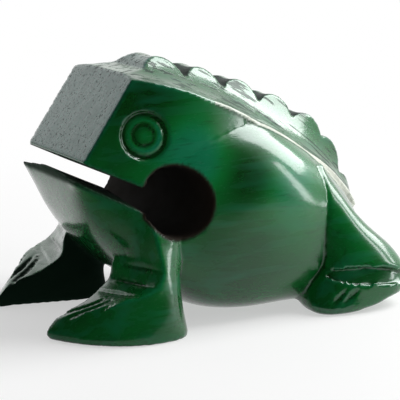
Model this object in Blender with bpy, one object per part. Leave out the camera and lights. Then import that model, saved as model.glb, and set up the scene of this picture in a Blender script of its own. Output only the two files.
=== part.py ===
"""A frog-shaped guiro carved from one block of wood.

The frog looks along -X and is symmetric about the XZ plane. It stands on its four
feet. Lengths are in metres. The left side is the one at -Y.
"""

import math

import bmesh
import bpy
from mathutils import Matrix, Vector


def mm(*values):
    """Return lengths that are written in millimetres as metres."""
    return tuple(value * 0.001 for value in values)


# How far each cutting block reaches past the wood
CUT_REACH = 0.060
# Faces that meet at less than this angle are shaded as one smooth surface
SMOOTH_ANGLE = math.radians(35)

# Barrel: the round body, with the throat as its prow. Each station is x from the
# toes, belly height, half width, height of the widest line and height of the top, and
# how square the outline is above that line and below it.
BARREL_STATIONS = (
    (*mm(8.0, 47.2, 20.8, 49.5, 52.0), 5.0, 3.0),
    (*mm(14.0, 32.0, 23.5, 46.0, 54.0), 3.2, 2.8),
    (*mm(21.0, 22.5, 27.0, 42.0, 57.0), 2.6, 2.7),
    (*mm(29.0, 15.0, 31.0, 37.0, 61.0), 2.4, 2.8),
    (*mm(38.0, 9.0, 33.8, 33.0, 65.0), 2.4, 3.2),
    (*mm(50.0, 2.5, 36.2, 31.0, 69.0), 2.5, 4.0),
    (*mm(63.0, 0.6, 37.5, 30.0, 69.0), 2.6, 4.6),
    (*mm(75.0, 0.6, 37.8, 29.0, 66.0), 2.6, 4.6),
    (*mm(88.0, 0.8, 36.4, 28.0, 58.0), 2.5, 4.6),
    (*mm(100.0, 3.5, 33.0, 26.0, 48.5), 2.3, 4.6),
    (*mm(111.0, 8.5, 26.0, 23.0, 38.0), 2.2, 4.6),
    (*mm(120.0, 14.0, 15.0, 21.0, 28.0), 2.0, 4.6),
)
BARREL_RINGS = 34
BARREL_POINTS = 40

# Back: the head and the crest. Each station is x, half width and height of the line
# where the crest meets the sides, height of the ridge, and the flank's power: below 1
# the flank is a dome, and above 1 it is hollow.
BACK_STATIONS = (
    (*mm(1.0, 13.4, 79.0, 80.2), 0.4),
    (*mm(14.0, 17.2, 79.2, 80.4), 0.4),
    (*mm(27.6, 20.8, 79.1, 80.5), 0.4),
    (*mm(36.0, 23.6, 77.6, 85.4), 2.1),
    (*mm(44.5, 25.3, 75.2, 85.3), 2.1),
    (*mm(53.0, 25.8, 71.8, 83.2), 2.1),
    (*mm(62.0, 25.2, 68.2, 80.2), 2.1),
    (*mm(74.0, 24.0, 61.8, 76.2), 2.1),
    (*mm(86.5, 22.0, 54.8, 71.2), 2.1),
    (*mm(98.5, 19.4, 47.8, 65.2), 2.1),
    (*mm(107.0, 16.6, 42.0, 59.6), 2.1),
    (*mm(115.5, 13.4, 34.6, 49.8), 2.1),
    (*mm(120.3, 11.8, 29.2, 40.2), 2.1),
    (*mm(124.5, 9.5, 22.0, 24.5), 2.1),
)
# How far the sides lean out for each unit down, on the head and behind it
HEAD_SIDE_LEAN = 0.20
REAR_SIDE_LEAN = -0.55
HEAD_END = 0.066
LEAN_CHANGE = 0.020
HEAD_TOP_Z = 0.0804
BROW_X = 0.0320
# How deep the back goes into the barrel, and the least it keeps where the back is small
BACK_DEPTH = 0.034
BACK_DEPTH_SHARE = 0.5
BACK_FOOT_SHARE = 0.4
CREST_TOP_HALF_WIDTH = 0.0048
CREST_TOP_SHARE = 0.8
CREST_FLANK_POINTS = 6
BACK_RINGS = 60

# Teeth of the crest. The first tooth's top is at its own x, and the pitch is measured
# along the ridge. The ridge trim is the wood that is cut off the tops.
TOOTH_COUNT = 7
TOOTH_PITCH = 0.0161
TOOTH_DEPTH = 0.0062
TOOTH_ARC_POINTS = 9
TOOTH_STEPS = 40
FIRST_TOOTH_X = 0.0458
RIDGE_TRIM = 0.0012

# Snout face, and the mouth slot behind it. The slot is a little lower in the middle,
# where the lower jaw is crowned.
SNOUT_X = 0.0106
SNOUT_Z = 0.05415
SNOUT_SLOPE = math.radians(55.4)
SLOT_HEIGHT = 0.0061
SLOT_SLOPE = math.radians(25.3)
JAW_CROWN = 0.0018
JAW_CROWN_FLAT = 0.004
JAW_HALF_WIDTH = 0.022

# Bore across the rear end of the slot
BORE_DIAMETER = 0.0222
BORE_X = 0.0376
BORE_Z = 0.0412
BORE_SIDES = 36

# Eyes, carved into the sides of the head. The profile is radius and height, from
# the middle of the eyeball over the eyelid's ring and groove to the rim.
EYE_X = 0.0300
EYE_Z = 0.0620
EYE_PROFILE = (
    mm(0.5, 0.0),
    mm(1.8, -0.2),
    mm(2.8, -0.7),
    mm(3.3, -1.3),
    mm(3.9, -0.8),
    mm(4.8, -0.4),
    mm(5.7, -0.7),
    mm(6.6, -1.5),
    mm(7.4, -1.1),
    mm(8.2, 0.3),
)
EYE_SIDES = 28
EYE_REACH = 0.004

# Front legs, on the frog's left. The outline goes round from the toe tip along the
# outer side to the heel and back along the inner side.
FRONT_FOOT_OUTLINE = (
    mm(-2.6, 20.0),
    mm(0.8, 26.8),
    mm(6.6, 33.8),
    mm(15.0, 39.8),
    mm(25.0, 42.6),
    mm(35.0, 41.0),
    mm(39.5, 34.0),
    mm(39.5, 24.0),
    mm(36.0, 16.5),
    mm(27.0, 13.9),
    mm(14.0, 16.6),
    mm(2.0, 19.4),
)
# Each level is height and the outline's share of its length and its width there
FRONT_LEG_LEVELS = (
    (0.0000, 0.97, 0.97),
    (0.0012, 1.00, 1.00),
    (0.0030, 0.99, 1.00),
    (0.0055, 0.92, 0.99),
    (0.0090, 0.82, 0.95),
    (0.0170, 0.80, 0.84),
    (0.0240, 0.90, 0.71),
    (0.0290, 0.94, 0.63),
    (0.0330, 0.92, 0.54),
    (0.0355, 0.85, 0.42),
    (0.0368, 0.75, 0.30),
)
FRONT_LEG_AXIS = mm(31.0, 26.0)
FOOT_SPAN_POINTS = 3

# The instep is a face between two lines of x and height, from the toes to the shin: one
# on the inner side of the foot and one on the outer side
INSTEP_SIDES = mm(16.5, 40.0)
INSTEP_INNER = (
    mm(-4.0, 0.5),
    mm(-0.5, 5.2),
    mm(4.5, 7.9),
    mm(11.4, 9.8),
    mm(16.5, 12.8),
    mm(20.3, 16.0),
    mm(20.6, 20.5),
    mm(23.0, 24.5),
)
INSTEP_OUTER = (
    mm(-4.0, 0.5),
    mm(-0.6, 5.2),
    mm(5.0, 9.0),
    mm(10.5, 11.8),
    mm(16.5, 13.8),
    mm(24.5, 16.2),
    mm(29.3, 21.5),
    mm(29.2, 30.0),
)
INSTEP_POINTS = 20
INSTEP_CUT_SHARES = (-0.6, 0.0, 0.25, 0.5, 0.75, 1.0, 1.7)

# Grooves between the toes. Each runs from a place to a place on the instep, with its half
# width and depth. A place is the share of the way from the toes to the shin, and the
# share of the way from the inner line to the outer one.
TOE_GROOVES = (
    ((0.17, 0.08), (0.62, 0.52), *mm(1.1, 2.1)),
    ((0.15, 0.24), (0.60, 0.66), *mm(1.1, 2.3)),
    ((0.14, 0.40), (0.56, 0.80), *mm(1.1, 2.2)),
)
INSTEP_OUTWARD = (-0.5, 0.0, 1.0)

# Grooves across the shin, written as the grooves between the toes
SHIN_GROOVES = (
    ((0.57, 0.08), (0.66, 0.94), *mm(1.0, 1.0)),
    ((0.72, 0.08), (0.75, 0.96), *mm(1.2, 1.4)),
    ((0.86, 0.08), (0.85, 0.96), *mm(1.2, 1.2)),
)
SHIN_OUTWARD = (-1.0, 0.3, 0.5)

# Hind legs, on the frog's left. Each station is height, x, y, half length and half width.
HIND_LEG_STATIONS = (
    mm(0.0, 94.0, 36.5, 8.0, 7.5),
    mm(1.5, 96.6, 36.0, 12.6, 10.2),
    mm(5.0, 102.0, 34.6, 18.4, 11.9),
    mm(10.0, 104.4, 33.8, 17.8, 12.5),
    mm(15.0, 106.0, 32.6, 15.2, 12.2),
    mm(21.0, 103.6, 31.0, 12.6, 11.4),
    mm(27.0, 100.0, 29.4, 9.2, 10.2),
    mm(35.0, 97.0, 27.6, 6.0, 8.4),
    mm(42.0, 95.0, 25.4, 3.8, 6.4),
    mm(47.0, 94.0, 23.4, 2.4, 4.2),
)
HIND_LEG_YAW = math.radians(6.0)
HIND_LEG_SQUARENESS = 2.7
LEG_RINGS = 15
LEG_POINTS = 28

# Groove between the hind foot and the shin, and the grooves between the hind toes.
# Angles go round the leg, with 0 at the rear and 90 degrees at the outer side. The
# first groove is tilted, so that its lower face is a ledge, and the others turn forward.
HIND_ANKLE_ANGLES = (math.radians(24), math.radians(152))
HIND_ANKLE_HEIGHTS = mm(9.6, 13.4)
HIND_ANKLE_HALF_WIDTH = 0.0032
HIND_ANKLE_DEPTH = 0.0058
HIND_ANKLE_TILT = (0.0, 0.0, -0.009)
HIND_TOE_ANGLES = (math.radians(97), math.radians(110))
HIND_TOE_TURN = math.radians(12)
HIND_TOE_HEIGHTS = mm(8.8, 2.6)
HIND_TOE_HALF_WIDTH = 0.0011
HIND_TOE_DEPTH = 0.0019

# Every groove is a wedge that starts above the skin and is small at its ends
GROOVE_CLEARANCE = 0.0015
GROOVE_END_SHARE = 0.3
GROOVE_POINTS = 9

LACQUER_COLOUR = (0.010, 0.075, 0.030, 1.0)
LACQUER_ROUGHNESS = 0.25


def catmull_rom(before, start, end, after, share):
    """Return the point at a share of the way from start to end on a smooth curve."""
    values = []
    for p0, p1, p2, p3 in zip(before, start, end, after):
        linear = (p2 - p0) * share
        square = (2 * p0 - 5 * p1 + 4 * p2 - p3) * share ** 2
        cube = (3 * p1 - p0 - 3 * p2 + p3) * share ** 3
        values.append(p1 + 0.5 * (linear + square + cube))
    return tuple(values)


def smooth_stations(stations, count):
    """Return count stations on a smooth curve through the given ones."""
    last = len(stations) - 1
    result = []
    for index in range(count):
        place = index / (count - 1) * last
        step = min(int(place), last - 1)
        before = stations[max(step - 1, 0)]
        after = stations[min(step + 2, last)]
        result.append(catmull_rom(before, stations[step], stations[step + 1], after, place - step))
    return result


def interpolated(stations, key):
    """Return the station at a value of its first entry, on straight runs."""
    for start, end in zip(stations, stations[1:]):
        if key <= end[0]:
            break
    share = (key - start[0]) / (end[0] - start[0])
    return tuple(low + (high - low) * share for low, high in zip(start, end))


def smooth_loop(points, per_span):
    """Return a closed smooth curve through the given points."""
    count = len(points)
    result = []
    for index in range(count):
        corners = [points[(index + offset) % count] for offset in (-1, 0, 1, 2)]
        for step in range(per_span):
            result.append(catmull_rom(*corners, step / per_span))
    return result


def loft(name, rings):
    """Return a closed object whose skin joins rings of equally many points."""
    mesh = bmesh.new()
    rows = [[mesh.verts.new(point) for point in ring] for ring in rings]
    for row, following in zip(rows, rows[1:]):
        for index in range(len(row)):
            after = (index + 1) % len(row)
            mesh.faces.new((row[index], row[after], following[after], following[index]))
    mesh.faces.new(rows[0])
    mesh.faces.new(rows[-1])
    bmesh.ops.recalc_face_normals(mesh, faces=mesh.faces)
    return new_object(name, mesh)


def new_object(name, mesh):
    """Return an object in the scene that holds the finished bmesh."""
    data = bpy.data.meshes.new(name)
    mesh.to_mesh(data)
    mesh.free()
    created = bpy.data.objects.new(name, data)
    bpy.context.scene.collection.objects.link(created)
    return created


def extrusion(name, outline):
    """Return the solid of an outline in the XZ plane, widened past both sides."""
    rings = []
    for y in (-CUT_REACH, CUT_REACH):
        rings.append([(point.x, y, point.y) for point in outline])
    return loft(name, rings)


def mirrored(name, source):
    """Return a copy of an object on the other side of the XZ plane."""
    mesh = bmesh.new()
    mesh.from_mesh(source.data)
    bmesh.ops.transform(mesh, matrix=Matrix.Diagonal((1, -1, 1, 1)), verts=mesh.verts)
    bmesh.ops.reverse_faces(mesh, faces=mesh.faces)
    return new_object(name, mesh)


def combine(body, tool, operation):
    """Join a tool to the body or cut it out of the body, and delete the tool."""
    modifier = body.modifiers.new(operation, "BOOLEAN")
    modifier.object = tool
    modifier.operation = operation
    modifier.solver = "EXACT"
    graph = bpy.context.evaluated_depsgraph_get()
    result = bpy.data.meshes.new_from_object(body.evaluated_get(graph))
    body.modifiers.clear()
    body.data = result
    bpy.data.objects.remove(tool)


def combine_pair(body, tool, operation):
    """Use a tool and its mirror image on the body."""
    combine(body, mirrored(tool.name + "_right", tool), operation)
    combine(body, tool, operation)


def barrel_ring(station):
    """Return the barrel's outline at one station."""
    x, belly, half_width, middle, top, upper_squareness, lower_squareness = station
    ring = []
    for index in range(BARREL_POINTS):
        angle = 2 * math.pi * (index + 0.5) / BARREL_POINTS
        above = math.sin(angle) > 0
        reach = top - middle if above else belly - middle
        power = 2 / (upper_squareness if above else lower_squareness)
        across = math.copysign(abs(math.cos(angle)) ** power, math.cos(angle))
        ring.append((x, half_width * across, middle + reach * abs(math.sin(angle)) ** power))
    return ring


def barrel():
    """Return the round body."""
    stations = smooth_stations(BARREL_STATIONS, BARREL_RINGS)
    return loft("barrel", [barrel_ring(station) for station in stations])


def side_lean(x):
    """Return how far the side below the crest leans out for each unit down."""
    share = min(max((x - HEAD_END) / LEAN_CHANGE, 0.0), 1.0)
    return HEAD_SIDE_LEAN + (REAR_SIDE_LEAN - HEAD_SIDE_LEAN) * share


def back_half(station):
    """Return one side of the back's outline, from the bottom to the ridge."""
    x, half_width, height, ridge, power = station
    depth = min(BACK_DEPTH, height * BACK_DEPTH_SHARE)
    foot = max(half_width + side_lean(x) * depth, half_width * BACK_FOOT_SHARE)
    top = min(CREST_TOP_HALF_WIDTH, half_width * CREST_TOP_SHARE)
    side = [(x, foot, height - depth), (x, half_width, height)]
    for index in range(1, CREST_FLANK_POINTS + 1):
        share = index / CREST_FLANK_POINTS
        rise = (ridge - height) * share ** power
        side.append((x, half_width + (top - half_width) * share, height + rise))
    return side


def back():
    """Return the head and the crest before the teeth are cut."""
    rings = []
    for station in smooth_stations(BACK_STATIONS, BACK_RINGS):
        near = back_half(station)
        far = [(x, -y, z) for x, y, z in reversed(near)]
        rings.append(near + far)
    return loft("back", rings)


def front_leg():
    """Return the left front leg and foot as a tapered pillar."""
    outline = smooth_loop(FRONT_FOOT_OUTLINE, FOOT_SPAN_POINTS)
    rings = []
    for height, length_share, width_share in FRONT_LEG_LEVELS:
        ring = []
        for x, y in outline:
            along = (x - FRONT_LEG_AXIS[0]) * length_share
            across = (y - FRONT_LEG_AXIS[1]) * width_share
            ring.append((FRONT_LEG_AXIS[0] + along, -FRONT_LEG_AXIS[1] - across, height))
        rings.append(ring)
    return loft("front_leg", rings)


def instep_line(line, y):
    """Return the smooth points of one of the instep's lines, put on the left side at y."""
    return [Vector((x, -y, z)) for x, z in smooth_stations(line, INSTEP_POINTS)]


def instep_place(along, across):
    """Return a place on the left instep at its two shares."""
    steps = along * (INSTEP_POINTS - 1)
    start = min(int(steps), INSTEP_POINTS - 2)
    inner = instep_line(INSTEP_INNER, INSTEP_SIDES[0])
    outer = instep_line(INSTEP_OUTER, INSTEP_SIDES[1])
    near = inner[start].lerp(inner[start + 1], steps - start)
    far = outer[start].lerp(outer[start + 1], steps - start)
    return near.lerp(far, across)


def instep_cutter():
    """Return the block that is cut away in front of the left shin and over the toes."""
    inner = instep_line(INSTEP_INNER, INSTEP_SIDES[0])
    outer = instep_line(INSTEP_OUTER, INSTEP_SIDES[1])
    rings = []
    for share in INSTEP_CUT_SHARES:
        ring = [near.lerp(far, share) for near, far in zip(inner, outer)]
        y = ring[0].y
        ring.append(Vector((ring[-1].x, y, CUT_REACH)))
        ring.append(Vector((-CUT_REACH, y, CUT_REACH)))
        ring.append(Vector((-CUT_REACH, y, ring[0].z)))
        rings.append(ring)
    return loft("instep", rings)


def groove(name, places, outward, half_width, depth):
    """Return a wedge that follows places on the skin and fades at both ends."""
    rings = []
    last = len(places) - 1
    for index, (place, out) in enumerate(zip(places, outward)):
        before = places[max(index - 1, 0)]
        after = places[min(index + 1, last)]
        swell = GROOVE_END_SHARE + (1 - GROOVE_END_SHARE) * math.sin(math.pi * index / last)
        out = out.normalized()
        side = (after - before).cross(out).normalized() * half_width * swell
        above = place + out * GROOVE_CLEARANCE
        side = side * (1 + GROOVE_CLEARANCE / (depth * swell))
        rings.append([above - side, above + side, place - out * depth * swell])
    return loft(name, rings)


def straight_run(start, end):
    """Return evenly spaced points of two entries from start to end."""
    points = []
    for index in range(GROOVE_POINTS):
        share = index / (GROOVE_POINTS - 1)
        points.append(tuple(low + (high - low) * share for low, high in zip(start, end)))
    return points


def instep_grooves(name, grooves, direction):
    """Return the grooves on the left instep that are cut along a direction."""
    outward = [Vector(direction)] * GROOVE_POINTS
    cutters = []
    for start, end, half_width, depth in grooves:
        places = [instep_place(along, across) for along, across in straight_run(start, end)]
        cutters.append(groove(name, places, outward, half_width, depth))
    return cutters


def head_side(x, z):
    """Return the half width of the head at a place on its side."""
    half_width, height = interpolated(BACK_STATIONS, x)[1:3]
    return half_width + HEAD_SIDE_LEAN * (height - z)


def eye_cutter():
    """Return the lathe-turned block whose underside is the left eye."""
    rim = EYE_PROFILE[-1][0]
    widening = (head_side(EYE_X + rim, EYE_Z) - head_side(EYE_X - rim, EYE_Z)) / (2 * rim)
    outward = Vector((-widening, -1.0, HEAD_SIDE_LEAN)).normalized()
    turn = outward.to_track_quat("Z", "Y").to_matrix()
    middle = Vector((EYE_X, -head_side(EYE_X, EYE_Z), EYE_Z))
    rings = []
    for radius, height in (*EYE_PROFILE, (rim, EYE_REACH), (EYE_PROFILE[0][0], EYE_REACH)):
        ring = []
        for index in range(EYE_SIDES):
            angle = 2 * math.pi * index / EYE_SIDES
            place = Vector((radius * math.cos(angle), radius * math.sin(angle), height))
            ring.append(middle + turn @ place)
        rings.append(ring)
    return loft("eye", rings)


def hind_place(station, angle):
    """Return a place on the left hind leg's skin at a station and an angle round it."""
    height, x, y, half_length, half_width = station
    power = 2 / HIND_LEG_SQUARENESS
    along = half_length * math.copysign(abs(math.cos(angle)) ** power, math.cos(angle))
    across = half_width * math.copysign(abs(math.sin(angle)) ** power, math.sin(angle))
    turned_x = along * math.cos(HIND_LEG_YAW) - across * math.sin(HIND_LEG_YAW)
    turned_y = along * math.sin(HIND_LEG_YAW) + across * math.cos(HIND_LEG_YAW)
    return Vector((x + turned_x, -y - turned_y, height))


def hind_groove(name, angles, heights, half_width, depth, tilt=(0.0, 0.0, 0.0)):
    """Return a groove over the left hind leg between two angles and two heights."""
    places = []
    outward = []
    for angle, height in straight_run((angles[0], heights[0]), (angles[1], heights[1])):
        station = interpolated(HIND_LEG_STATIONS, height)
        place = hind_place(station, angle)
        places.append(place)
        outward.append(place - Vector((station[1], -station[2], height)) + Vector(tilt))
    return groove(name, places, outward, half_width, depth)


def hind_grooves():
    """Return the grooves of the left hind foot."""
    ankle = hind_groove(
        "hind_ankle",
        HIND_ANKLE_ANGLES,
        HIND_ANKLE_HEIGHTS,
        HIND_ANKLE_HALF_WIDTH,
        HIND_ANKLE_DEPTH,
        HIND_ANKLE_TILT,
    )
    cutters = [ankle]
    for angle in HIND_TOE_ANGLES:
        sides = (angle, angle + HIND_TOE_TURN)
        toe = hind_groove("hind_toe", sides, HIND_TOE_HEIGHTS, HIND_TOE_HALF_WIDTH, HIND_TOE_DEPTH)
        cutters.append(toe)
    return cutters


def hind_leg():
    """Return the left hind leg, folded against the body."""
    rings = []
    for station in smooth_stations(HIND_LEG_STATIONS, LEG_RINGS):
        rings.append([hind_place(station, 2 * math.pi * index / LEG_POINTS) for index in range(LEG_POINTS)])
    return loft("hind_leg", rings)


def ridge_height(x):
    """Return the ridge's height at a place along the back."""
    return interpolated(BACK_STATIONS, x)[3]


def tooth_tops():
    """Return the top of each tooth and the back's direction there."""
    step = TOOTH_PITCH / TOOTH_STEPS
    x = FIRST_TOOTH_X
    travelled = 0.0
    tops = []
    while len(tops) < TOOTH_COUNT:
        drop = ridge_height(x + step) - ridge_height(x)
        direction = Vector((step, drop)).normalized()
        if travelled >= len(tops) * TOOTH_PITCH:
            tops.append((Vector((x, ridge_height(x) - RIDGE_TRIM)), direction))
        x += direction.x * step
        travelled += step
    return tops


def notch(first, second, radius):
    """Return the outer point where two neighbouring teeth meet."""
    middle = (first + second) / 2
    apart = second - first
    rise = math.sqrt(radius ** 2 - (apart.length / 2) ** 2)
    return middle + Vector((-apart.y, apart.x)).normalized() * rise


def gouge():
    """Return the block above the teeth, whose underside is a row of round teeth."""
    radius = (TOOTH_PITCH ** 2 / 4 + TOOTH_DEPTH ** 2) / (2 * TOOTH_DEPTH)
    tops = tooth_tops()
    centres = []
    for top, direction in tops:
        centres.append(top - Vector((-direction.y, direction.x)) * radius)
    first = centres[0] * 2 - centres[1]
    last = centres[-1] * 2 - centres[-2]
    chain = [first] + centres + [last]
    notches = [notch(start, end, radius) for start, end in zip(chain, chain[1:])]
    lower = []
    for centre, start, end in zip(centres, notches, notches[1:]):
        begin = math.atan2(start.y - centre.y, start.x - centre.x)
        sweep = math.atan2(end.y - centre.y, end.x - centre.x) - begin
        for index in range(TOOTH_ARC_POINTS):
            angle = begin + sweep * index / TOOTH_ARC_POINTS
            lower.append(centre + Vector((math.cos(angle), math.sin(angle))) * radius)
    lower.append(notches[-1])
    below = lower[-1] + tops[-1][1] * CUT_REACH
    forehead = [Vector((-CUT_REACH, HEAD_TOP_Z)), Vector((BROW_X, HEAD_TOP_Z))]
    above = HEAD_TOP_Z + CUT_REACH
    corners = [Vector((below.x, above)), Vector((-CUT_REACH, above))]
    return extrusion("gouge", forehead + lower + [below] + corners)


def snout_cutter():
    """Return the block in front of the flat snout face."""
    along = Vector((math.cos(SNOUT_SLOPE), math.sin(SNOUT_SLOPE))) * CUT_REACH
    ahead = Vector((-along.y, along.x))
    foot = Vector((SNOUT_X, SNOUT_Z)) - along
    head = Vector((SNOUT_X, SNOUT_Z)) + along
    return extrusion("snout", (foot, head, head + ahead, foot + ahead))


def under_head():
    """Return the block under the upper jaw that parts the head from the throat."""
    along = Vector((math.cos(SLOT_SLOPE), -math.sin(SLOT_SLOPE)))
    down = Vector((along.y, -along.x)) * BACK_DEPTH
    lips = Vector((SNOUT_X, SNOUT_Z))
    front = lips - along * CUT_REACH
    rear = lips + along * (BORE_X - SNOUT_X)
    return extrusion("under_head", (front, rear, rear + down, front + down))


def meeting(start, along, centre, radius):
    """Return where a line going back first meets the bore."""
    offset = start - centre
    ahead = offset.dot(along)
    root = math.sqrt(ahead ** 2 - offset.length_squared + radius ** 2)
    return start + along * (-ahead - root)


def mouth_outline(slot_height):
    """Return the keyhole outline of the slot and the bore."""
    along = Vector((math.cos(SLOT_SLOPE), -math.sin(SLOT_SLOPE)))
    down = Vector((along.y, -along.x)) * slot_height
    centre = Vector((BORE_X, BORE_Z))
    radius = BORE_DIAMETER / 2
    front = Vector((SNOUT_X, SNOUT_Z)) - along * CUT_REACH
    upper = meeting(front, along, centre, radius)
    lower = meeting(front + down, along, centre, radius)
    begin = math.atan2(upper.y - centre.y, upper.x - centre.x)
    end = math.atan2(lower.y - centre.y, lower.x - centre.x)
    sweep = (end - begin) % (2 * math.pi) - 2 * math.pi
    outline = [front]
    for index in range(BORE_SIDES + 1):
        angle = begin + sweep * index / BORE_SIDES
        outline.append(centre + Vector((math.cos(angle), math.sin(angle))) * radius)
    outline.append(front + down)
    return outline


def mouth():
    """Return the slot over the crowned lower jaw and the bore, from side to side."""
    fall = JAW_CROWN / (JAW_HALF_WIDTH - JAW_CROWN_FLAT)
    rings = []
    for y in (-JAW_HALF_WIDTH * 2, -JAW_CROWN_FLAT, JAW_CROWN_FLAT, JAW_HALF_WIDTH * 2):
        slot_height = SLOT_HEIGHT - JAW_CROWN + (abs(y) - JAW_CROWN_FLAT) * fall
        rings.append([(point.x, y, point.y) for point in mouth_outline(slot_height)])
    return loft("mouth", rings)


def seat(body):
    """Move the mesh so that the bottom centre of its box is the origin."""
    low = [min(vertex.co[axis] for vertex in body.data.vertices) for axis in range(3)]
    high = [max(vertex.co[axis] for vertex in body.data.vertices) for axis in range(3)]
    middle = Vector(((low[0] + high[0]) / 2, (low[1] + high[1]) / 2, low[2]))
    body.data.transform(Matrix.Translation(-middle))


def lacquer():
    """Return the glossy green stain of the whole frog."""
    material = bpy.data.materials.new("green_lacquer")
    material.use_nodes = True
    shader = material.node_tree.nodes["Principled BSDF"]
    shader.inputs["Base Color"].default_value = LACQUER_COLOUR
    shader.inputs["Roughness"].default_value = LACQUER_ROUGHNESS
    shader.inputs["Metallic"].default_value = 0.0
    return material


def frog_body():
    """Carve the frog."""
    body = back()
    combine(body, gouge(), "DIFFERENCE")
    combine(body, under_head(), "DIFFERENCE")
    combine(body, barrel(), "UNION")
    leg = front_leg()
    combine(leg, instep_cutter(), "DIFFERENCE")
    combine_pair(body, leg, "UNION")
    combine_pair(body, hind_leg(), "UNION")
    combine(body, snout_cutter(), "DIFFERENCE")
    combine(body, mouth(), "DIFFERENCE")
    combine_pair(body, eye_cutter(), "DIFFERENCE")
    toes = instep_grooves("toe_groove", TOE_GROOVES, INSTEP_OUTWARD)
    shins = instep_grooves("shin_groove", SHIN_GROOVES, SHIN_OUTWARD)
    for cutter in toes + shins + hind_grooves():
        combine_pair(body, cutter, "DIFFERENCE")
    body.name = "frog_body"
    body.data.name = "frog_body"
    body.data.materials.clear()
    body.data.materials.append(lacquer())
    seat(body)
    body.data.shade_smooth()
    body.data.set_sharp_from_angle(angle=SMOOTH_ANGLE)
    return body


def main():
    for item in list(bpy.data.objects):
        bpy.data.objects.remove(item)
    frog_body()


main()
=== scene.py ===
"""Looks of the carved wooden frog: its finely carved skin, its green lacquer, light and camera.

The skin is a fine copy of the solid, in the same place. Lengths are in metres. The frog
looks along -X, and its left side is the one at -Y.
"""

import math

import bmesh
import bpy
import numpy as np
from mathutils import Matrix, Vector
from mathutils.bvhtree import BVHTree
from mathutils.kdtree import KDTree

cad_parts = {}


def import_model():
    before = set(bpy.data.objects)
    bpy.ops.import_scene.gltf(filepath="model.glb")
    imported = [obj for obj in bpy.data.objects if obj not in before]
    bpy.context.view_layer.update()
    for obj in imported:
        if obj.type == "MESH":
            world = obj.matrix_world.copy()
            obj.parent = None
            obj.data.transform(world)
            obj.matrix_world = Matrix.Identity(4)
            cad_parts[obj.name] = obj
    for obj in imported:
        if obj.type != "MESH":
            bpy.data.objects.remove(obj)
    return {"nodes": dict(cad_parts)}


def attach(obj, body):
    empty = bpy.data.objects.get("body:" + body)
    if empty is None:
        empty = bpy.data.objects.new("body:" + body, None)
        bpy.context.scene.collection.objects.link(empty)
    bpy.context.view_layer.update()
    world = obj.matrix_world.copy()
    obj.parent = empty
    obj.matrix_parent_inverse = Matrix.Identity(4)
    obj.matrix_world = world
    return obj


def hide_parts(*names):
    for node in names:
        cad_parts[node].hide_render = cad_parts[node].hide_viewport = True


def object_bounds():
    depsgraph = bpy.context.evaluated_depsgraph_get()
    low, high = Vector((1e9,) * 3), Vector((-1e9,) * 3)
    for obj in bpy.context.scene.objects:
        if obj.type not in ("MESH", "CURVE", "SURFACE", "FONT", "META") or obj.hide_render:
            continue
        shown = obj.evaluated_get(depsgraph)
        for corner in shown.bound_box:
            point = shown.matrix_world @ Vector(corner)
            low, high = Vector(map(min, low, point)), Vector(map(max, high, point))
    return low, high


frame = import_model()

CAD_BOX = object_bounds()

# Fine skin: the size of its faces, the edges that stay sharp, and how far from them a point
# is snapped onto the edge, kept on the solid, and free to be smoothed
SKIN_CELL = 0.00077
SAME_PLACE = 0.000002
SHARP_ANGLE = math.radians(24)
SHARP_POINT_GAP = 0.0002
SNAP_REACH = 0.00038
KEPT_REACH = 0.0010
FREE_REACH = 0.0036
SMOOTH_SHARE = 0.5
SMOOTH_ROUNDS = 80
SOFTEN_SHARE = 0.35
SOFTEN_ROUNDS = 2

# How far a point stands out from its neighbours: rounds of averaging, and the share of a
# face's size that counts as a full edge
BEND_ROUNDS = 3
BEND_FULL = 0.12

# Mouth slot: a point on its middle plane and the way that plane faces, in the XZ plane, how far its
# faces lie from it, how squarely they face it, and the band along the lower lip; these faces and that
# band are darkened with painted shade
SLOT_MIDDLE = (-0.0428, 0.0475)
SLOT_FACING = (0.426, 0.905)
SLOT_REACH = 0.0070
SLOT_END_X = -0.031
SLOT_SQUARENESS = (0.55, 0.80)
LIP_SHADE_BAND = (-0.0050, -0.0036)
LIP_SHADE_SHARE = 0.9

# Rounded chin, whose edges don't stay sharp: how far it lies below the slot's plane, its rear
# end, its lower end and its half width
CHIN_BELOW_SLOT = 0.0060
CHIN_END_X = -0.030
CHIN_LOW_Z = 0.024
CHIN_HALF_WIDTH = 0.030

# Border between the crest and the sides: x, half width and height
BORDER = (
    (-0.0599, 0.0134, 0.0790),
    (-0.0333, 0.0208, 0.0791),
    (-0.0249, 0.0236, 0.0776),
    (-0.0164, 0.0253, 0.0752),
    (-0.0079, 0.0258, 0.0718),
    (0.0011, 0.0252, 0.0682),
    (0.0131, 0.0240, 0.0618),
    (0.0256, 0.0220, 0.0548),
    (0.0376, 0.0194, 0.0478),
    (0.0461, 0.0166, 0.0420),
    (0.0546, 0.0134, 0.0346),
    (0.0594, 0.0118, 0.0292),
    (0.0636, 0.0095, 0.0220),
)
BORDER_FADE = 0.0012
SLOPE_STEP = 0.002

# Pale worn ribbon along that border: where it starts, its half width there and at the rear, and the
# groove beside it, which is only painted shade
RIBBON_START_X = -0.006
RIBBON_HALF_WIDTHS = (0.0002, 0.0019)
RIBBON_GROOVE_WIDTH = 0.0009
GROOVE_SHADE_SHARE = 0.7

# Front faces of the crest's teeth: where they begin, how squarely they face forward, how far they may
# face sideways, and the second tooth, from which on they are dull end grain darkened with painted shade
TEETH_START_X = -0.0373
TEETH_SQUARENESS = (0.34, 0.46)
TEETH_SIDEWAYS = 0.5
TOOTH_2_X = -0.014

# Flat face of the snout, which with the first tooth's front gets a painted teal sheen: how squarely it
# faces forward and up, its rear and its lower end
SNOUT_FORWARD = (0.60, 0.75)
SNOUT_UPWARD = (0.3, 0.5)
SNOUT_END_X = -0.030
SNOUT_LOW_Z = 0.050

# Bore: its middle in the XZ plane, its radius, and how its bare wood, darkened near black with painted
# shade, ends at the rim
BORE_MIDDLE = (-0.02339, 0.0412)
BORE_RADIUS = 0.0111
BORE_FADE = (0.0004, 0.0012)
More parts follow.
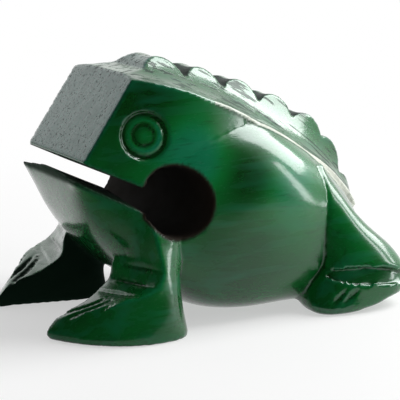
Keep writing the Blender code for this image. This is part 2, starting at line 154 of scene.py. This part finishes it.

# Painted shade on the inner sides of the front legs: how squarely they face the middle, and where it
# ends
LEG_SQUARENESS = (0.20, 0.50)
LEG_TOP = (0.026, 0.034)
LEG_END_X = -0.005

# Places where the colour is lighter or darker, partly stain and partly painted light and shade: x, |y|
# and z, reach, and amount
STAIN_MIDDLE = 0.5
STAIN_AND_LIGHT_SPOTS = (
    (-0.016, 0.029, 0.056, 0.013, 0.60),
    (0.019, 0.036, 0.043, 0.014, 0.45),
    (0.000, 0.035, 0.049, 0.010, -0.55),
    (-0.034, 0.022, 0.072, 0.014, -0.35),
    (0.005, 0.038, 0.015, 0.022, -0.20),
)

# Eye: its middle in the XZ plane, how far from the frog's middle it begins, and its rings of painted
# light on the raised ring and dome and painted shade in the grooves, as radius, reach and amount
EYE_MIDDLE = (-0.0310, 0.0620)
EYE_HALF_WIDTH = 0.016
EYE_LIGHT_AND_SHADE_RINGS = (
    (0.0, 0.0018, 0.30),
    (0.0033, 0.0005, -0.50),
    (0.0049, 0.0010, 0.40),
    (0.0067, 0.0006, -0.55),
)

# Colours of the stain and of the wood, and of painted light and shade: the snout's painted sheen, and
# the painted shade on the teeth fronts, in the slot, on the inner legs and in the bore
DEEP_GREEN = (0.0006, 0.036, 0.0025, 1.0)
BRIGHT_GREEN = (0.0015, 0.150, 0.024, 1.0)
TEAL_GREEN = (0.004, 0.165, 0.085, 1.0)
PAINTED_SNOUT_SHEEN = (0.008, 0.095, 0.070, 1.0)
SHADED_END_GRAIN = (0.012, 0.022, 0.016, 1.0)
PAINTED_SHADE_GREEN = (0.004, 0.026, 0.007, 1.0)
PORE_AND_SHADE_GREEN = (0.0006, 0.010, 0.004, 1.0)
PALE_WOOD = (0.60, 0.62, 0.54, 1.0)
SHADED_BARE_WOOD = (0.014, 0.005, 0.0015, 1.0)

# Marks of the wood: their stretch along each axis, how many fit in a metre, and their detail
CLOUDS = ((1.6, 1.0, 1.0), 40.0, 2.0)
GRAIN = ((10.0, 1.0, 1.0), 900.0, 3.0)
WIDE_GRAIN = ((12.0, 1.0, 1.0), 230.0, 2.0)
PORES = ((3.0, 1.0, 1.0), 1500.0, 1.0)
SCRATCHES = ((14.0, 1.0, 1.0), 620.0, 2.0)
SCRATCH_TURN = math.radians(38)
NOISE_ROUGHNESS = 0.55

# Layers of the stain, of the darker colour in grooves and of the painted shade on the inner legs: the
# values between which each fades in, and its share before and after
CLOUD_SHARE = 0.7
BRIGHT_PATCHES = (0.45, 1.25)
TEAL_PATCHES = (0.95, 1.45, 0.0, 0.7)
TEAL_GRAIN = (0.45, 0.75, 0.0, 0.3)
DEEP_GRAIN = (0.56, 0.74, 0.0, 0.45)
WORN_EDGES = (0.60, 0.95, 0.0, 0.25)
DEEP_GROOVES = (0.40, 0.08, 0.0, 0.85)
PORE_FADE = (0.62, 0.68)
SCRATCH_FADE = (0.54, 0.62, 0.0, 0.8)
PORE_SHARE = 0.08
SNOUT_PORE_SHARE = 0.75
LEG_DARKNESS = 0.8

# Gloss: roughness of the bare lacquer, how much rougher the dull places and the grain are,
# how dull each finish is, and the clear coat on top
GLOSS_ROUGHNESS = 0.25
DULL_ROUGHNESS = 0.62
GRAIN_ROUGHNESS = 0.06
ROUGH_GRAIN = (0.4, 0.7)
END_GRAIN_DULLNESS = 0.85
RIBBON_DULLNESS = 0.5
MARK_DULLNESS = 0.7
SPECULAR_LEVEL = 0.28
SPECULAR_TINT = (0.70, 1.0, 0.95, 1.0)
COAT_WEIGHT = 0.8
COAT_ROUGHNESS = 0.11

# Relief of the wood: its depth, its strength under and on the coat, and the share of each mark
RELIEF_DEPTH = 0.00022
RELIEF_STRENGTH = 0.4
COAT_RELIEF_STRENGTH = 0.25
MARK_RELIEF = -0.8
WIDE_GRAIN_RELIEF = 0.7
GRAIN_RELIEF = 0.4

# Camera: its place, turn and height angle, and the picture's scale in pixels
CAMERA_PLACE = (-0.24521, -0.43016, 0.14193)
CAMERA_TURN = math.radians(-30.0)
CAMERA_TILT = math.radians(12.348587)
PIXEL_SCALE = 1498.42
PICTURE_WIDTH = 400
SENSOR_WIDTH = 36.0

# Floor: its half size, its drop below the feet, how far behind the frog it fades into the
# white backdrop, how white it is before that, and how far ahead its gloss turns dark
FLOOR_HALF_SIZE = 3.0
FLOOR_GAP = 0.0001
FLOOR_COLOUR = (0.90, 0.90, 0.90, 1.0)
FLOOR_ROUGHNESS = 0.6
FLOOR_FADE = (0.02, 0.30)
FLOOR_WHITENESS = 0.5
FLOOR_DARKENING = (0.00, 0.13)

# Dark side of the room, that only the gloss shows: the turn of its middle from -Y to +X,
# and the cosines between which it fades
DARK_TURN = math.radians(-58)
DARK_FADE = (-0.36, -0.06)
DARK_LEVEL = 0.012

# Lamps: name, turn from -Y to +X and tilt above the floor in degrees, distance, size, watts
LAMPS = (
    ("right", 84, 42, 0.9, (0.52, 0.70), 10.5),
    ("strip", 54, 15, 0.8, (0.10, 0.40), 1.1),
    ("back_left", -156.5, 22, 1.0, (0.6, 0.6), 0.7),
)
LIGHT_AIM_Z = 0.04
WORLD_LIGHT = 0.26


def mesh_arrays(mesh):
    """Return the places of a mesh's points and the pairs of points its edges join."""
    places = np.empty(len(mesh.vertices) * 3)
    mesh.vertices.foreach_get("co", places)
    pairs = np.empty(len(mesh.edges) * 2, dtype=np.int64)
    mesh.edges.foreach_get("vertices", pairs)
    return places.reshape(-1, 3), pairs.reshape(-1, 2)


def slot_side(places):
    """Return how far above the mouth slot's middle plane each place lies."""
    return (places[..., ::2] - SLOT_MIDDLE) @ SLOT_FACING


def on_chin(place):
    """Return whether a place is on the rounded chin."""
    forward = place[0] < CHIN_END_X and place[2] > CHIN_LOW_Z and abs(place[1]) < CHIN_HALF_WIDTH
    return forward and slot_side(np.array(place)) < -CHIN_BELOW_SLOT


def sharp_points(source):
    """Return points along the edges of a mesh where its faces meet at a sharp angle."""
    mesh = bmesh.new()
    mesh.from_mesh(source)
    bmesh.ops.remove_doubles(mesh, verts=mesh.verts, dist=SAME_PLACE)
    points = []
    for edge in mesh.edges:
        if len(edge.link_faces) != 2 or edge.calc_face_angle(0.0) < SHARP_ANGLE:
            continue
        start, end = (vertex.co.copy() for vertex in edge.verts)
        if on_chin(start) and on_chin(end):
            continue
        count = max(int((end - start).length / SHARP_POINT_GAP), 1)
        points.extend(start.lerp(end, step / count) for step in range(count + 1))
    mesh.free()
    return points


def nearest_of(points, places):
    """Return the nearest of some points to each place, and how far away it is."""
    tree = KDTree(len(points))
    for index, point in enumerate(points):
        tree.insert(point, index)
    tree.balance()
    found = [tree.find(place) for place in places]
    return np.array([entry[0] for entry in found]), np.array([entry[2] for entry in found])


def ramp(values, low, high):
    """Return values as smooth shares from 0 at low to 1 at high."""
    share = np.clip((values - low) / (high - low), 0.0, 1.0)
    return share * share * (3 - 2 * share)


def neighbour_mean(values, pairs):
    """Return the mean of each point's neighbours, for values of one or more columns."""
    count = len(values)
    first, second = pairs[:, 0], pairs[:, 1]
    degree = np.bincount(first, minlength=count) + np.bincount(second, minlength=count)
    table = values.reshape(count, -1)
    sums = np.empty_like(table)
    for column in range(table.shape[1]):
        ahead = np.bincount(first, weights=table[second, column], minlength=count)
        behind = np.bincount(second, weights=table[first, column], minlength=count)
        sums[:, column] = ahead + behind
    return (sums / np.maximum(degree, 1)[:, None]).reshape(values.shape)


def smooth(places, pairs, weights, rounds):
    """Return places moved towards their neighbours' mean, each by its own weight."""
    for _ in range(rounds):
        places = places + (neighbour_mean(places, pairs) - places) * weights[:, None]
    return places


def onto_solid(places, source, nearest, distance):
    """Return places with those by a sharp edge laid on the solid, and the closest on the edge."""
    corners = [vertex.co for vertex in source.vertices]
    tree = BVHTree.FromPolygons(corners, [face.vertices for face in source.polygons])
    places = places.copy()
    for index in np.flatnonzero(distance < KEPT_REACH):
        places[index] = tree.find_nearest(places[index])[0]
    close = distance < SNAP_REACH
    places[close] = nearest[close]
    return places


def fine_skin(node):
    """Return a new object whose mesh is a fine, even copy of a node's solid."""
    skin = bpy.data.objects.new("carved_frog", node.data.copy())
    bpy.context.scene.collection.objects.link(skin)
    modifier = skin.modifiers.new("fine", "REMESH")
    modifier.mode = "VOXEL"
    modifier.voxel_size = SKIN_CELL
    graph = bpy.context.evaluated_depsgraph_get()
    mesh = bpy.data.meshes.new_from_object(skin.evaluated_get(graph))
    skin.modifiers.clear()
    skin.data = mesh
    mesh.name = "carved_frog"
    mesh.materials.clear()
    return skin


def carve(skin, source):
    """Smooth the skin between the sharp edges of the solid, and lay it on them."""
    places, pairs = mesh_arrays(skin.data)
    nearest, distance = nearest_of(sharp_points(source), places)
    weights = SMOOTH_SHARE * ramp(distance, KEPT_REACH, FREE_REACH)
    places = smooth(places, pairs, weights, SMOOTH_ROUNDS)
    places = onto_solid(places, source, nearest, distance)
    places = smooth(places, pairs, np.full(len(places), SOFTEN_SHARE), SOFTEN_ROUNDS)
    low, high = (np.array(corner) for corner in CAD_BOX)
    places = np.clip(places, low, high)
    skin.data.vertices.foreach_set("co", places.ravel())
    skin.data.update()
    skin.data.shade_smooth()


def folded(places):
    """Return places with the frog's left side laid over its right side."""
    return np.column_stack((places[:, 0], np.abs(places[:, 1]), places[:, 2]))


def border_distance(places):
    """Return how far each place is from the crest's border, and the x of the border there."""
    line = np.array(BORDER)
    sides = folded(places)
    best = np.full(len(places), 1.0)
    along = np.zeros(len(places))
    for start, end in zip(line, line[1:]):
        run = end - start
        share = np.clip((sides - start) @ run / (run @ run), 0.0, 1.0)
        nearest = start + share[:, None] * run
        distance = np.linalg.norm(sides - nearest, axis=1)
        closer = distance < best
        best[closer] = distance[closer]
        along[closer] = nearest[closer, 0]
    return best, along


def ribbon_masks(places):
    """Return where the pale worn ribbon along the crest's border is, and where shade is painted for a
    groove beside it.
    """
    distance, along = border_distance(places)
    share = ramp(along, RIBBON_START_X, BORDER[-1][0])
    half_width = RIBBON_HALF_WIDTHS[0] + (RIBBON_HALF_WIDTHS[1] - RIBBON_HALF_WIDTHS[0]) * share
    ribbon = 1 - ramp(distance, half_width, half_width + SKIN_CELL)
    outside = np.abs(distance - half_width - RIBBON_GROOVE_WIDTH)
    groove = 1 - ramp(outside, RIBBON_GROOVE_WIDTH / 3, RIBBON_GROOVE_WIDTH)
    started = along > RIBBON_START_X
    return ribbon * started, groove * started


def bare_wood_shade_mask(places):
    """Return where the bore's wall is dull bare wood darkened with painted shade."""
    radius = np.hypot(places[:, 0] - BORE_MIDDLE[0], places[:, 2] - BORE_MIDDLE[1])
    return 1 - ramp(radius, BORE_RADIUS + BORE_FADE[0], BORE_RADIUS + BORE_FADE[1])


def crest_masks(places, normals):
    """Return where the crest is, and where its teeth's front faces are."""
    line_x, line_half_width, line_height = np.array(BORDER).T
    height = np.interp(places[:, 0], line_x, line_height)
    before = np.interp(places[:, 0] - SLOPE_STEP, line_x, line_height)
    half_width = np.interp(places[:, 0], line_x, line_half_width)
    crest = ramp(places[:, 2] - height, 0.0, BORDER_FADE) * (np.abs(places[:, 1]) < half_width)
    crest = crest * (places[:, 0] > TEETH_START_X)
    slope = np.arctan2(height - before, SLOPE_STEP)
    forward = -normals[:, 0] * np.cos(slope) - normals[:, 2] * np.sin(slope)
    front = crest * ramp(forward, *TEETH_SQUARENESS) * (np.abs(normals[:, 1]) < TEETH_SIDEWAYS)
    return crest, front


def snout_mask(places, normals):
    """Return where the flat face of the snout is."""
    snout = ramp(-normals[:, 0], *SNOUT_FORWARD) * ramp(normals[:, 2], *SNOUT_UPWARD)
    return snout * (places[:, 0] < SNOUT_END_X) * (places[:, 2] > SNOUT_LOW_Z)


def stain_and_light_depth(places):
    """Return how light the colour is at each place, from stain and from painted light and shade."""
    sides = folded(places)
    light = np.full(len(places), STAIN_MIDDLE)
    # Lighter and darker spots, partly stain and partly painted light and shade
    for *middle, reach, amount in STAIN_AND_LIGHT_SPOTS:
        distance = np.linalg.norm(sides - middle, axis=1)
        light += amount * np.exp(-(distance / reach) ** 2)
    radius = np.hypot(places[:, 0] - EYE_MIDDLE[0], places[:, 2] - EYE_MIDDLE[1])
    # Painted light on the eye's raised ring and dome, painted shade in its grooves
    for ring, reach, amount in EYE_LIGHT_AND_SHADE_RINGS:
        band = np.exp(-((radius - ring) / reach) ** 2)
        light += amount * band * (sides[:, 1] > EYE_HALF_WIDTH)
    return np.clip(light, 0.0, 1.0)


def inner_leg_mask(places, normals):
    """Return where shade is painted on the inner sides of the front legs."""
    inward = -normals[:, 1] * np.sign(places[:, 1])
    low = 1 - ramp(places[:, 2], *LEG_TOP)
    return ramp(inward, *LEG_SQUARENESS) * low * (places[:, 0] < LEG_END_X)


def slot_shade_mask(places, normals):
    """Return where shade is painted on the two inner faces of the mouth slot and along the edge of the
    lower lip.
    """
    side = slot_side(places)
    facing = normals[:, ::2] @ SLOT_FACING
    inner = ramp(-np.sign(side) * facing, *SLOT_SQUARENESS) * (np.abs(side) < SLOT_REACH)
    lip = LIP_SHADE_SHARE * ramp(side, *LIP_SHADE_BAND) * (side < 0)
    return np.maximum(inner, lip) * (places[:, 0] < SLOT_END_X)


def convexity(places, normals, pairs):
    """Return how far each place stands out, as shares from 0 in a groove to 1 on an edge."""
    bend = np.einsum("ij,ij->i", places - neighbour_mean(places, pairs), normals)
    for _ in range(BEND_ROUNDS):
        bend = (bend + neighbour_mean(bend, pairs)) / 2
    return np.clip(bend / (SKIN_CELL * BEND_FULL), -1.0, 1.0) * 0.5 + 0.5


def mark(mesh, name, masks):
    """Write three masks to a mesh as the colours of one attribute."""
    colours = np.ones((len(mesh.vertices), 4), dtype=np.float32)
    colours[:, :3] = np.column_stack(masks)
    mesh.color_attributes.new(name, "FLOAT_COLOR", "POINT").data.foreach_set("color", colours.ravel())


def mark_finishes(mesh):
    """Mark on the skin where each finish lies, and where light and shade are painted."""
    places, pairs = mesh_arrays(mesh)
    normals = np.empty(len(places) * 3)
    mesh.vertex_normals.foreach_get("vector", normals)
    normals = normals.reshape(-1, 3)
    ribbon, groove = ribbon_masks(places)
    mark(mesh, "finish", (ribbon, bare_wood_shade_mask(places), convexity(places, normals, pairs)))
    crest, front = crest_masks(places, normals)
    # From the second tooth on, the teeth's fronts are dull end grain darkened with painted shade
    shaded_end_grain = front * (places[:, 0] > TOOTH_2_X)
    # The snout's face and the first tooth's front get a painted teal sheen
    snout = np.maximum(snout_mask(places, normals), front - shaded_end_grain)
    mark(mesh, "carving", (crest, shaded_end_grain, snout))
    # Painted shade on the inner sides of the front legs
    inner_leg_shade = inner_leg_mask(places, normals)
    # Painted shade: the slot's inner faces, the band along the lower lip, the inner sides of the front
    # legs and a groove beside the ribbon
    dark = np.maximum(np.maximum(slot_shade_mask(places, normals), inner_leg_shade), GROOVE_SHADE_SHARE * groove)
    # The stain attribute holds painted shade, the lightness of stain and painted light and shade, and
    # the inner legs' painted shade
    mark(mesh, "stain", (dark, stain_and_light_depth(places), inner_leg_shade))


class Nodes:
    """Short calls that add shader nodes to one material or world and link them."""

    def __init__(self, owner):
        owner.use_nodes = True
        self.tree = owner.node_tree
        self.shader = self.tree.nodes.get("Principled BSDF") or self.tree.nodes["Background"]

    def add(self, kind, settings=None, **inputs):
        """Add a node with some settings, and put values or links in its inputs."""
        node = self.tree.nodes.new(kind)
        for name, value in (settings or {}).items():
            setattr(node, name, value)
        for name, value in inputs.items():
            self.put(node.inputs[name.replace("_", " ")], value)
        return node

    def put(self, socket, value):
        """Link a socket to an output, or set its value."""
        if isinstance(value, bpy.types.NodeSocket):
            self.tree.links.new(value, socket)
        else:
            socket.default_value = value

    def masks(self, name):
        """Return the three masks that a mesh attribute holds."""
        marks = self.add("ShaderNodeVertexColor", {"layer_name": name}).outputs["Color"]
        split = self.add("ShaderNodeSeparateColor", Color=marks)
        return split.outputs["Red"], split.outputs["Green"], split.outputs["Blue"]

    def dot(self, first, second):
        """Return the dot product of two vectors."""
        node = self.add("ShaderNodeVectorMath", {"operation": "DOT_PRODUCT"})
        self.put(node.inputs[0], first)
        self.put(node.inputs[1], second)
        return node.outputs["Value"]

    def maths(self, operation, first, second=0.0, third=0.0):
        """Return the result of an operation on up to three numbers."""
        node = self.tree.nodes.new("ShaderNodeMath")
        node.operation = operation
        for socket, value in zip(node.inputs, (first, second, third)):
            self.put(socket, value)
        return node.outputs[0]

    def largest(self, first, *others):
        """Return the largest of some numbers."""
        for other in others:
            first = self.maths("MAXIMUM", first, other)
        return first

    def mix(self, share, first, second):
        """Return the mix of two colours by a share."""
        node = self.tree.nodes.new("ShaderNodeMix")
        node.data_type = "RGBA"
        self.put(node.inputs["Factor"], share)
        self.put(node.inputs["A"], first)
        self.put(node.inputs["B"], second)
        return node.outputs["Result"]

    def mix_shader(self, share, first, second):
        """Return the mix of two shaders by a share."""
        node = self.tree.nodes.new("ShaderNodeMixShader")
        for socket, value in zip(node.inputs, (share, first.outputs[0], second.outputs[0])):
            self.put(socket, value)
        return node

    def span(self, value, low, high, start=0.0, end=1.0):
        """Return a value's smooth way from start at low to end at high."""
        node = self.add("ShaderNodeMapRange", {"clamp": True, "interpolation_type": "SMOOTHSTEP"})
        for name, number in (("From Min", low), ("From Max", high), ("To Min", start), ("To Max", end)):
            node.inputs[name].default_value = number
        self.put(node.inputs["Value"], value)
        return node.outputs["Result"]

    def noise(self, place, stretch, scale, detail, turn=0.0):
        """Return noise that is stretched along axes turned about Y."""
        mapping = self.add(
            "ShaderNodeMapping", {"vector_type": "TEXTURE"},
            Vector=place, Scale=stretch, Rotation=(0.0, turn, 0.0))
        node = self.add(
            "ShaderNodeTexNoise",
            Vector=mapping.outputs["Vector"], Scale=scale, Detail=detail, Roughness=NOISE_ROUGHNESS)
        return node.outputs["Fac"]

    def seen_rays(self):
        """Return which rays see the white backdrop straight on, and which see it in the gloss."""
        path = self.add("ShaderNodeLightPath")
        seen = self.largest(path.outputs["Is Camera Ray"], path.outputs["Is Transmission Ray"])
        return seen, path.outputs["Is Glossy Ray"]


def stained_green(nodes, place, grain, wide_grain, bend, light):
    """Return the colour of the stain, with its patches, which also carry painted light and shade, its
    grain, its worn edges, and darker colour in the grooves.
    """
    patches = nodes.maths("MULTIPLY_ADD", nodes.noise(place, *CLOUDS), CLOUD_SHARE, light)
    green = nodes.mix(nodes.span(patches, *BRIGHT_PATCHES), DEEP_GREEN, BRIGHT_GREEN)
    green = nodes.mix(nodes.span(patches, *TEAL_PATCHES), green, TEAL_GREEN)
    green = nodes.mix(nodes.span(wide_grain, *TEAL_GRAIN), green, TEAL_GREEN)
    green = nodes.mix(nodes.span(grain, *DEEP_GRAIN), green, DEEP_GREEN)
    green = nodes.mix(nodes.span(bend, *WORN_EDGES), green, TEAL_GREEN)
    return nodes.mix(nodes.span(bend, *DEEP_GROOVES), green, DEEP_GREEN)


def wood_marks(nodes, place, snout, crest):
    """Return where pores show, most of all on the snout, and scratches on the crest."""
    pore_share = nodes.maths("MULTIPLY_ADD", snout, SNOUT_PORE_SHARE, PORE_SHARE)
    pores = nodes.span(nodes.noise(place, *PORES), *PORE_FADE)
    pores = nodes.maths("MULTIPLY", pores, pore_share)
    scratches = nodes.span(nodes.noise(place, *SCRATCHES, SCRATCH_TURN), *SCRATCH_FADE)
    return nodes.largest(pores, nodes.maths("MULTIPLY", scratches, crest))


def lacquer():
    """Return the glossy green stain with its grain, worn pale ribbon and bare bore, with a painted
    sheen on the snout and painted shade on the teeth fronts, in the slot, on the inner legs, by the
    ribbon and in the bore.
    """
    material = bpy.data.materials.new("green_lacquer_on_wood")
    nodes = Nodes(material)
    inputs = nodes.shader.inputs
    place = nodes.add("ShaderNodeTexCoord").outputs["Object"]
    ribbon, bare, bend = nodes.masks("finish")
    crest, shaded_end_grain, snout = nodes.masks("carving")
    # The stain attribute holds painted shade, the lightness of stain and painted light and shade, and
    # the inner legs' painted shade
    dark, light, inner_leg_shade = nodes.masks("stain")
    grain = nodes.noise(place, *GRAIN)
    wide_grain = nodes.noise(place, *WIDE_GRAIN)
    marks = wood_marks(nodes, place, snout, crest)

    colour = stained_green(nodes, place, grain, wide_grain, bend, light)
    # Painted reflection: a pale teal sheen on the snout's face and the first tooth's front
    colour = nodes.mix(snout, colour, PAINTED_SNOUT_SHEEN)
    # Painted shade: the teeth's fronts from the second tooth on are darkened, and dulled as end grain
    colour = nodes.mix(shaded_end_grain, colour, SHADED_END_GRAIN)
    # Painted shade: the slot's inner faces, the lower lip's band, the inner legs and a groove by the
    # ribbon
    colour = nodes.mix(dark, colour, PAINTED_SHADE_GREEN)
    # Painted shade on the inner legs, in the same dark green as the pores and scratches
    colour = nodes.mix(nodes.maths("MULTIPLY", inner_leg_shade, LEG_DARKNESS), colour, PORE_AND_SHADE_GREEN)
    colour = nodes.mix(marks, colour, PORE_AND_SHADE_GREEN)
    colour = nodes.mix(ribbon, colour, PALE_WOOD)
    # The bore's wall: dull bare wood, darkened near black with painted shade
    nodes.put(inputs["Base Color"], nodes.mix(bare, colour, SHADED_BARE_WOOD))

    dull_grain = nodes.maths("MULTIPLY", shaded_end_grain, END_GRAIN_DULLNESS)
    dull_ribbon = nodes.maths("MULTIPLY", ribbon, RIBBON_DULLNESS)
    dull_marks = nodes.maths("MULTIPLY", marks, MARK_DULLNESS)
    dull = nodes.largest(bare, dark, dull_grain, dull_ribbon, dull_marks)
    rough = nodes.maths("MULTIPLY_ADD", dull, DULL_ROUGHNESS, GLOSS_ROUGHNESS)
    rough_grain = nodes.span(wide_grain, *ROUGH_GRAIN)
    rough = nodes.maths("MULTIPLY_ADD", rough_grain, GRAIN_ROUGHNESS, rough)
    nodes.put(inputs["Roughness"], rough)
    nodes.put(inputs["Coat Weight"], nodes.maths("MULTIPLY_ADD", dull, -COAT_WEIGHT, COAT_WEIGHT))
    inputs["Coat Roughness"].default_value = COAT_ROUGHNESS
    inputs["Specular IOR Level"].default_value = SPECULAR_LEVEL
    inputs["Specular Tint"].default_value = SPECULAR_TINT

    relief = nodes.maths("MULTIPLY", wide_grain, WIDE_GRAIN_RELIEF)
    relief = nodes.maths("MULTIPLY_ADD", marks, MARK_RELIEF, relief)
    fine_relief = nodes.maths("MULTIPLY_ADD", grain, GRAIN_RELIEF, relief)
    reliefs = (("Normal", relief, RELIEF_STRENGTH), ("Coat Normal", fine_relief, COAT_RELIEF_STRENGTH))
    for name, height, strength in reliefs:
        bump = nodes.add("ShaderNodeBump", Strength=strength, Distance=RELIEF_DEPTH, Height=height)
        nodes.put(inputs[name], bump.outputs["Normal"])
    return material


def floor_material():
    """Return a plain pale finish that turns into the white backdrop behind the frog."""
    material = bpy.data.materials.new("pale_floor")
    nodes = Nodes(material)
    nodes.shader.inputs["Base Color"].default_value = FLOOR_COLOUR
    nodes.shader.inputs["Roughness"].default_value = FLOOR_ROUGHNESS
    place = nodes.add("ShaderNodeTexCoord").outputs["Object"]
    seen, gloss = nodes.seen_rays()
    behind = nodes.dot(place, (-math.sin(CAMERA_TURN), math.cos(CAMERA_TURN), 0.0))
    whiteness = nodes.span(behind, *FLOOR_FADE, FLOOR_WHITENESS, 1.0)
    white_share = nodes.maths("MULTIPLY", nodes.largest(seen, gloss), whiteness)
    white = nodes.add("ShaderNodeEmission", Strength=1.0)
    pale = nodes.mix_shader(white_share, nodes.shader, white)
    ahead = nodes.dot(place, (math.sin(DARK_TURN), -math.cos(DARK_TURN), 0.0))
    dark_share = nodes.maths("MULTIPLY", gloss, nodes.span(ahead, *FLOOR_DARKENING))
    dark = nodes.add("ShaderNodeEmission", Strength=DARK_LEVEL)
    faded = nodes.mix_shader(dark_share, pale, dark)
    nodes.put(nodes.tree.nodes["Material Output"].inputs["Surface"], faded.outputs[0])
    return material


def floor():
    """Add the floor."""
    size = FLOOR_HALF_SIZE
    mesh = bpy.data.meshes.new("floor")
    corners = [(-size, -size, 0), (size, -size, 0), (size, size, 0), (-size, size, 0)]
    mesh.from_pydata(corners, [], [(0, 1, 2, 3)])
    mesh.materials.append(floor_material())
    item = bpy.data.objects.new("floor", mesh)
    item.location.z = -FLOOR_GAP
    bpy.context.scene.collection.objects.link(item)


def direction(turn, tilt):
    """Return the way to a turn from -Y to +X and a tilt above the floor."""
    flat = math.cos(tilt)
    return Vector((math.sin(turn) * flat, -math.cos(turn) * flat, math.sin(tilt)))


def softbox(name, turn, tilt, distance, size, power):
    """Add an area light that faces the frog."""
    data = bpy.data.lights.new(name, "AREA")
    data.shape = "RECTANGLE"
    data.size, data.size_y = size
    data.energy = power
    item = bpy.data.objects.new(name, data)
    bpy.context.scene.collection.objects.link(item)
    place = direction(math.radians(turn), math.radians(tilt)) * distance
    item.location = place + Vector((0, 0, LIGHT_AIM_Z))
    item.rotation_euler = place.to_track_quat("Z", "Y").to_euler()


def world():
    """Set the surroundings: white where they are seen, dark on the camera's side of the gloss."""
    item = bpy.data.worlds.new("studio")
    bpy.context.scene.world = item
    nodes = Nodes(item)
    way = nodes.add("ShaderNodeTexCoord").outputs["Generated"]
    front = nodes.dot(way, (math.sin(DARK_TURN), -math.cos(DARK_TURN), 0.0))
    seen, gloss = nodes.seen_rays()
    in_gloss = nodes.span(front, *DARK_FADE, 1.0 - WORLD_LIGHT, DARK_LEVEL - WORLD_LIGHT)
    strength = nodes.maths("MULTIPLY_ADD", gloss, in_gloss, WORLD_LIGHT)
    nodes.put(nodes.shader.inputs["Strength"], nodes.largest(seen, strength))
    nodes.shader.inputs["Color"].default_value = (1.0, 1.0, 1.0, 1.0)


def camera():
    """Place the camera at the photograph's viewing angle."""
    data = bpy.data.cameras.new("camera")
    data.sensor_width = SENSOR_WIDTH
    data.lens = PIXEL_SCALE / PICTURE_WIDTH * SENSOR_WIDTH
    item = bpy.data.objects.new("camera", data)
    bpy.context.scene.collection.objects.link(item)
    back = direction(CAMERA_TURN, CAMERA_TILT)
    right = Vector((math.cos(CAMERA_TURN), math.sin(CAMERA_TURN), 0.0))
    turn = Matrix((right, back.cross(right), back)).transposed()
    item.matrix_world = Matrix.Translation(CAMERA_PLACE) @ turn.to_4x4()
    bpy.context.scene.camera = item


def frog():
    """Add the finely carved skin that stands for the solid."""
    node = frame["nodes"]["frog_body"]
    skin = fine_skin(node)
    carve(skin, node.data)
    mark_finishes(skin.data)
    skin.data.materials.append(lacquer())
    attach(skin, "root")
    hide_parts("frog_body")


frog()
floor()
camera()
world()
for lamp in LAMPS:
    softbox(*lamp)
bpy.context.scene.view_settings.view_transform = "Standard"
